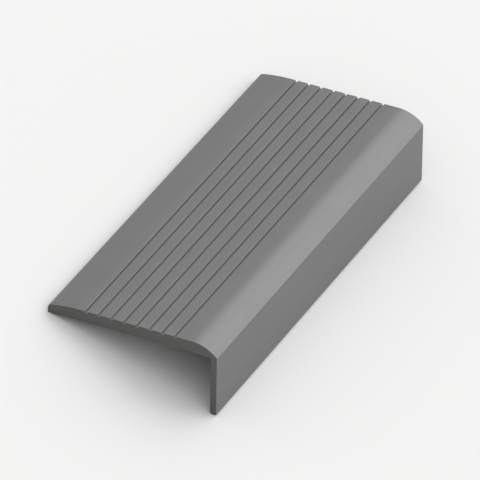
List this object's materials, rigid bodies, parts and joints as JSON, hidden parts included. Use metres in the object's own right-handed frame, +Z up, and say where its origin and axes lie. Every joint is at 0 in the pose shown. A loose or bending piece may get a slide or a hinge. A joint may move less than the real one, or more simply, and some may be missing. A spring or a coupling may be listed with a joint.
{
  "type": "threshold plate",
  "caption": "Extruded metal angle for the edge of a floor in a doorway: a broad grooved tread with an eased lip and a rounded nose, and a thin apron down its edge.",
  "frame": {"origin": "on the floor, under the middle of the leaning section and half-way along the plate", "axes": "+Y along the plate, +Z up from the floor it lies on, +X from the lip towards the apron"},
  "size_m": [0.0558, 0.134, 0.0194],
  "materials": {
    "dark_satin_metal": "dark grey satin, drawn lengthwise, plain sawn ends"
  },
  "bodies": {
    "root": {"threshold_plate": "dark_satin_metal"}
  },
  "joints": []
}
